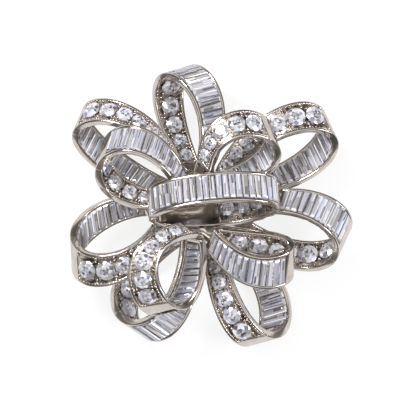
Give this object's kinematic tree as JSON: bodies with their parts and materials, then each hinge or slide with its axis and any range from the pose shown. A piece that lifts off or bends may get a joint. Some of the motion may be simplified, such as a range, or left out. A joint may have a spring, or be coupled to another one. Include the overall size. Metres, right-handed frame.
{
  "type": "brooch",
  "caption": "Ribbon-bow brooch: open ribbon loops around a flat knot, channel-set baguettes and bead-set rounds, hinged needle and turning catch.",
  "frame": {"origin": "below the middle of the brooch, on the surface that it lies on, back down", "axes": "+Z out of the front that shows when worn, +Y up on the wearer, +X to the right seen from the front"},
  "size_m": [0.0509, 0.0509, 0.0225],
  "materials": {
    "band_metal": "polished rhodium plate, bright rails and darker insides",
    "baguette_stone": "clear step-cut stone with a faint lavender tint",
    "round_stone": "clear brilliant-cut stone with a faint lavender tint",
    "gallery_metal": "plated casting, satin",
    "fitting_metal": "plated, lightly polished",
    "needle_steel": "drawn steel wire, polished"
  },
  "bodies": {
    "brooch": {"top_band": "band_metal", "upper_right_inner_band": "band_metal", "upper_right_band": "band_metal", "right_band": "band_metal", "lower_right_inner_band": "band_metal", "lower_right_band": "band_metal", "lower_left_band": "band_metal", "lower_left_inner_band": "band_metal", "left_band": "band_metal", "upper_left_inner_band": "band_metal", "upper_left_band": "band_metal", "knot_front_band": "band_metal", "knot_rear_band": "band_metal", "top_baguettes": "baguette_stone", "upper_right_inner_baguettes": "baguette_stone", "upper_right_baguettes": "baguette_stone", "right_baguettes": "baguette_stone", "lower_right_inner_baguettes": "baguette_stone", "lower_right_baguettes": "baguette_stone", "lower_left_baguettes": "baguette_stone", "lower_left_inner_baguettes": "baguette_stone", "left_baguettes": "baguette_stone", "upper_left_inner_baguettes": "baguette_stone", "upper_left_baguettes": "baguette_stone", "knot_baguettes": "baguette_stone", "top_rounds": "round_stone", "upper_right_inner_rounds": "round_stone", "upper_right_rounds": "round_stone", "right_rounds": "round_stone", "lower_right_inner_rounds": "round_stone", "lower_right_rounds": "round_stone", "lower_left_rounds": "round_stone", "lower_left_inner_rounds": "round_stone", "left_rounds": "round_stone", "upper_left_inner_rounds": "round_stone", "upper_left_rounds": "round_stone", "knot_rounds": "round_stone", "centre_hub": "gallery_metal", "back_plate": "gallery_metal", "hinge_bracket": "fitting_metal", "hinge_rivet": "fitting_metal", "catch_case": "fitting_metal"},
    "needle": {"pin_needle": "needle_steel"},
    "lock": {"catch_lock": "fitting_metal"}
  },
  "joints": [
    {"name": "pin_swing", "type": "hinge", "parent": "brooch", "child": "needle", "pos_m": [0.015, 0.0008, 0.0023], "axis": [0, -1, 0], "range_deg": [0, 75]},
    {"name": "catch_turn", "type": "hinge", "parent": "brooch", "child": "lock", "pos_m": [-0.015, 0.0008, 0.0023], "axis": [1, 0, 0], "range_deg": [0, 90]}
  ]
}
